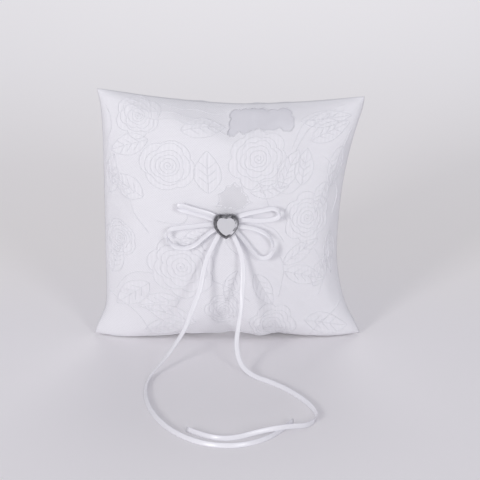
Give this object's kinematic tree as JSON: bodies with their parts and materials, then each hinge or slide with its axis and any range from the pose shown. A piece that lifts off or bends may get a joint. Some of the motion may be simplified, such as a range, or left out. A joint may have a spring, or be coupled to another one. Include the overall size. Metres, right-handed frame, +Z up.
{
  "type": "ring bearer pillow",
  "caption": "Square satin ring bearer pillow with a floral lace front, a ribbon bow with long tails and a heart-shaped stone.",
  "frame": {"origin": "on the surface that the pillow stands on, under the middle of the pillow with its bow and stone, leaving out the two ribbon tails", "axes": "+Z up, the lace front faces -Y, +X to the right of someone facing the front"},
  "size_m": [0.2006, 0.2328, 0.1968],
  "materials": {
    "satin": "white satin, soft sheen",
    "lace": "white floral lace, matte with raised cord",
    "fibre": "loose white polyester fibre",
    "thread": "white sewing thread",
    "ribbon": "white double-faced satin ribbon",
    "stone": "clear faceted crystal",
    "foil": "silver foil",
    "silver": "polished silver-coloured metal"
  },
  "bodies": {
    "root": {"fibre_filling": "fibre", "front_panel": "satin", "back_panel": "satin", "lace_overlay": "lace", "seam_thread": "thread", "closing_stitches": "thread", "closing_knot": "thread", "bow_loop_upper_left": "ribbon", "bow_loop_lower_left": "ribbon", "bow_loop_upper_right": "ribbon", "bow_loop_lower_right": "ribbon", "bow_centre": "ribbon", "bow_binding_thread": "thread", "tack_stitches": "thread", "shank_tie_thread": "thread", "tail_left": "ribbon", "tail_right": "ribbon", "gem_stone": "stone", "gem_foil": "foil", "gem_setting": "silver"}
  },
  "joints": []
}
